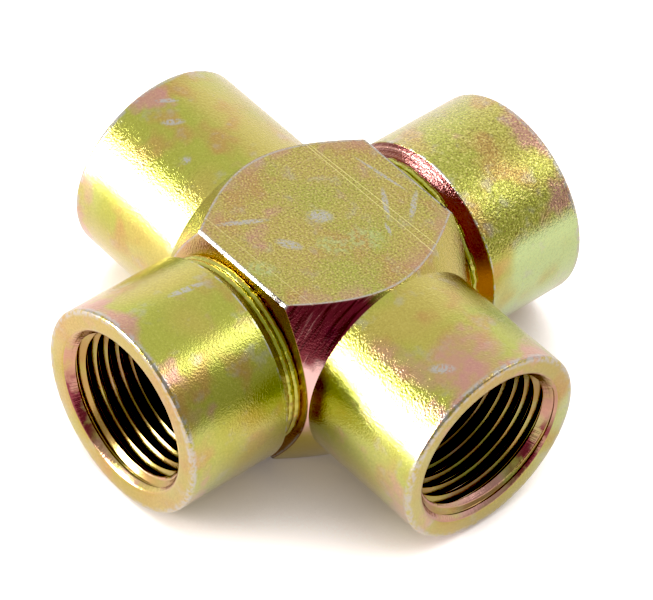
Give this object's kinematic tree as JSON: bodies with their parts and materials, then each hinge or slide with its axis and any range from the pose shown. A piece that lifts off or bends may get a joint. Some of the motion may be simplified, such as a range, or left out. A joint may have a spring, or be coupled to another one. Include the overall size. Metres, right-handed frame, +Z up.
{
  "type": "cross fitting",
  "caption": "Pipe cross with female threaded ports: a square-bar run turned round at both ends, with turned branch sockets plugged and welded into its sides.",
  "frame": {"origin": "where the bore axes cross, at the centre of the part", "axes": "+X along the run bar, +Y along the branch sockets, +Z up, square to the bar's top flat"},
  "size_m": [0.0492, 0.0492, 0.0212],
  "materials": {
    "run_body": "turned steel bar, zinc plated and yellow passivated",
    "branch_socket": "turned steel, zinc plated and yellow passivated",
    "weld_bead": "as-laid weld metal, zinc plated and yellow passivated"
  },
  "bodies": {
    "root": {"run_body": "run_body", "branch_socket_front": "branch_socket", "branch_socket_rear": "branch_socket", "weld_bead_front": "weld_bead", "weld_bead_rear": "weld_bead"}
  },
  "joints": []
}
